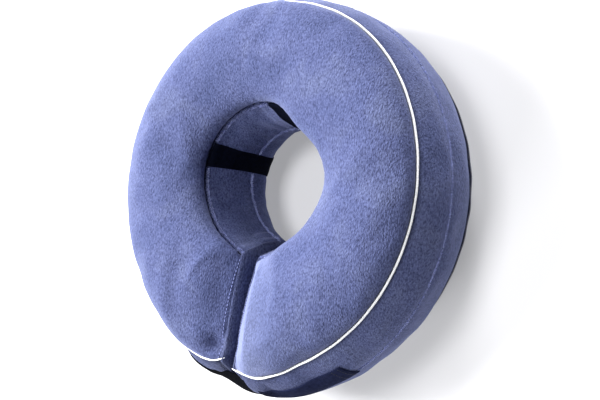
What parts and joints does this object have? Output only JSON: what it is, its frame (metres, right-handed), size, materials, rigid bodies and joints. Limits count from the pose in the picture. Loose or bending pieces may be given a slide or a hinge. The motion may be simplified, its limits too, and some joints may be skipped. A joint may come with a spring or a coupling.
{
  "type": "inflatable pet recovery collar",
  "caption": "Inflatable pet recovery collar: a padded ring of blue plush with a slit closed by a dark strap, a neck hole with elastic loops, and white piping round the front",
  "frame": {"origin": "middle of the collar's outline seen from the front, on the surface that its back panel lies on", "axes": "+Z is out of the padded front panel, along the neck hole's axis; +Y points from the slit to the top of the collar; +X is to the right seen from the front with the slit below"},
  "size_m": [0.3264, 0.3404, 0.1234],
  "materials": {
    "plush": "short pile",
    "reflective": "smooth reflective tape",
    "webbing": "woven",
    "zip": "matte",
    "vinyl": "smooth film"
  },
  "bodies": {
    "root": {"front_panel": "plush", "outer_band_front": "plush", "outer_band_back": "plush", "back_panel": "plush", "neck_wall": "plush", "end_panel_right": "plush", "end_panel_left": "plush", "piping": "reflective", "neck_strap_right": "webbing", "neck_strap_top": "webbing", "neck_strap_left": "webbing", "closure_strap": "webbing", "back_zip": "zip", "air_bladder": "vinyl"}
  },
  "joints": []
}
